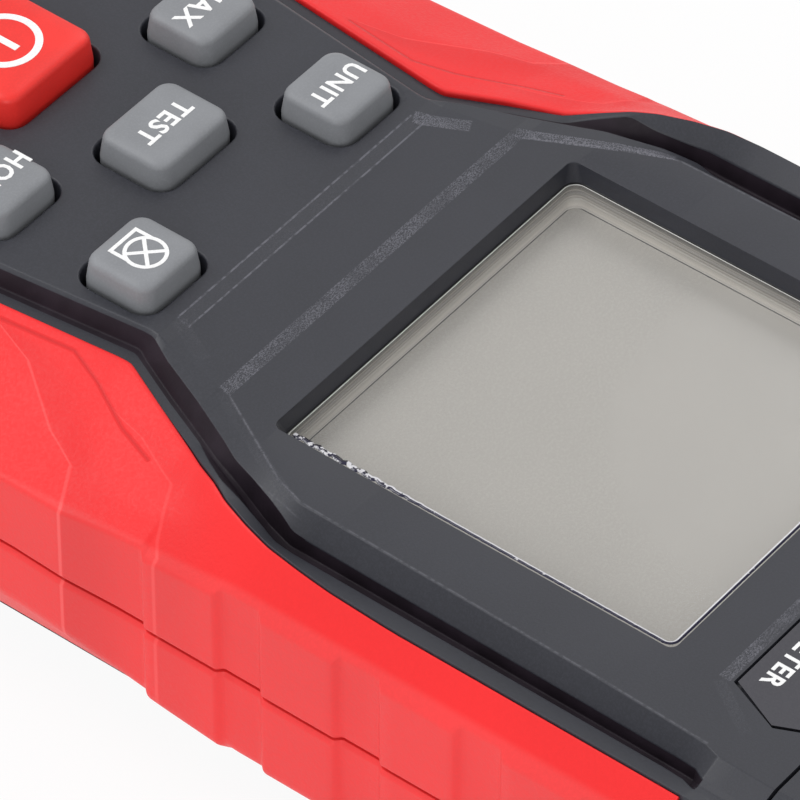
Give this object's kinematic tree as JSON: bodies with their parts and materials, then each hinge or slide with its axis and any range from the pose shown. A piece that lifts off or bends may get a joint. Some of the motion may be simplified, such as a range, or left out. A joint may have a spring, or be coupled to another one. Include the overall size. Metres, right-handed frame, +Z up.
{
  "type": "laser tachometer",
  "caption": "Hand-held laser tachometer with a recessed square display, rubber keypad, red ribbed overmoulded grip, dark front panel, sensor nose cap and sliding battery door.",
  "frame": {"origin": "middle of the flat back at the bottom of the bounding box, the instrument lying on its back", "axes": "+X across the body to the right of the display, +Y from the handle end to the laser end, +Z up out of the display"},
  "size_m": [0.063, 0.15, 0.0329],
  "materials": {
    "hard_black": "satin, fine grain",
    "soft_red": "matt soft overmould",
    "soft_red_key": "matt",
    "soft_grey": "matt",
    "clear_plastic": "clear",
    "smoked_plastic": "polished, nearly black",
    "display_grey": "display glass with a grey polariser",
    "pale_plastic": "matt",
    "contact_rubber": "matt",
    "board_green": "solder mask",
    "chip_black": "moulded",
    "can_grey": "satin",
    "steel": "bright plated",
    "brass": "turned",
    "cell_skin": "shrink sleeve"
  },
  "bodies": {
    "case": {"back_grip": "soft_red", "back_housing": "hard_black", "backlight_plate": "pale_plastic", "battery_1": "cell_skin", "battery_2": "cell_skin", "battery_3": "cell_skin", "battery_contact_1": "steel", "battery_contact_2": "steel", "battery_contact_3": "steel", "battery_contact_4": "steel", "battery_spring_1": "steel", "battery_spring_2": "steel", "battery_spring_3": "steel", "board_capacitor": "can_grey", "board_screw_1": "steel", "board_screw_2": "steel", "board_screw_3": "steel", "board_screw_4": "steel", "clock_crystal": "steel", "front_grip": "soft_red", "front_housing": "hard_black", "housing_screw_1": "steel", "housing_screw_2": "steel", "housing_screw_3": "steel", "housing_screw_4": "steel", "keypad_sheet": "soft_grey", "laser_lens": "clear_plastic", "laser_module": "brass", "lcd_frame": "pale_plastic", "lcd_panel": "display_grey", "lcd_window": "clear_plastic", "main_board": "board_green", "nose_cap": "hard_black", "optics_bracket": "hard_black", "photodiode": "chip_black", "processor_chip": "chip_black", "receiver_lens": "clear_plastic", "receiver_tube": "hard_black", "sensor_window": "smoked_plastic", "zebra_strip_lower": "contact_rubber", "zebra_strip_upper": "contact_rubber"},
    "key_hold_body": {"key_hold": "soft_grey"},
    "key_light_body": {"key_light": "soft_grey"},
    "key_max_body": {"key_max": "soft_grey"},
    "key_power_body": {"key_power": "soft_red_key"},
    "key_test_body": {"key_test": "soft_grey"},
    "key_unit_body": {"key_unit": "soft_grey"},
    "door": {"battery_door": "hard_black"}
  },
  "joints": [
    {"name": "key_hold_press", "type": "slide", "parent": "case", "child": "key_hold_body", "axis": [0, 0, -1], "range_m": [0, 0.001], "stiffness_N_per_m": 900},
    {"name": "key_light_press", "type": "slide", "parent": "case", "child": "key_light_body", "axis": [0, 0, -1], "range_m": [0, 0.001], "stiffness_N_per_m": 900},
    {"name": "key_max_press", "type": "slide", "parent": "case", "child": "key_max_body", "axis": [0, 0, -1], "range_m": [0, 0.001], "stiffness_N_per_m": 900},
    {"name": "key_power_press", "type": "slide", "parent": "case", "child": "key_power_body", "axis": [0, 0, -1], "range_m": [0, 0.001], "stiffness_N_per_m": 900},
    {"name": "key_test_press", "type": "slide", "parent": "case", "child": "key_test_body", "axis": [0, 0, -1], "range_m": [0, 0.001], "stiffness_N_per_m": 900},
    {"name": "key_unit_press", "type": "slide", "parent": "case", "child": "key_unit_body", "axis": [0, 0, -1], "range_m": [0, 0.001], "stiffness_N_per_m": 900},
    {"name": "battery_door_slide", "type": "slide", "parent": "case", "child": "door", "axis": [0, -1, 0], "range_m": [0, 0.008]}
  ]
}
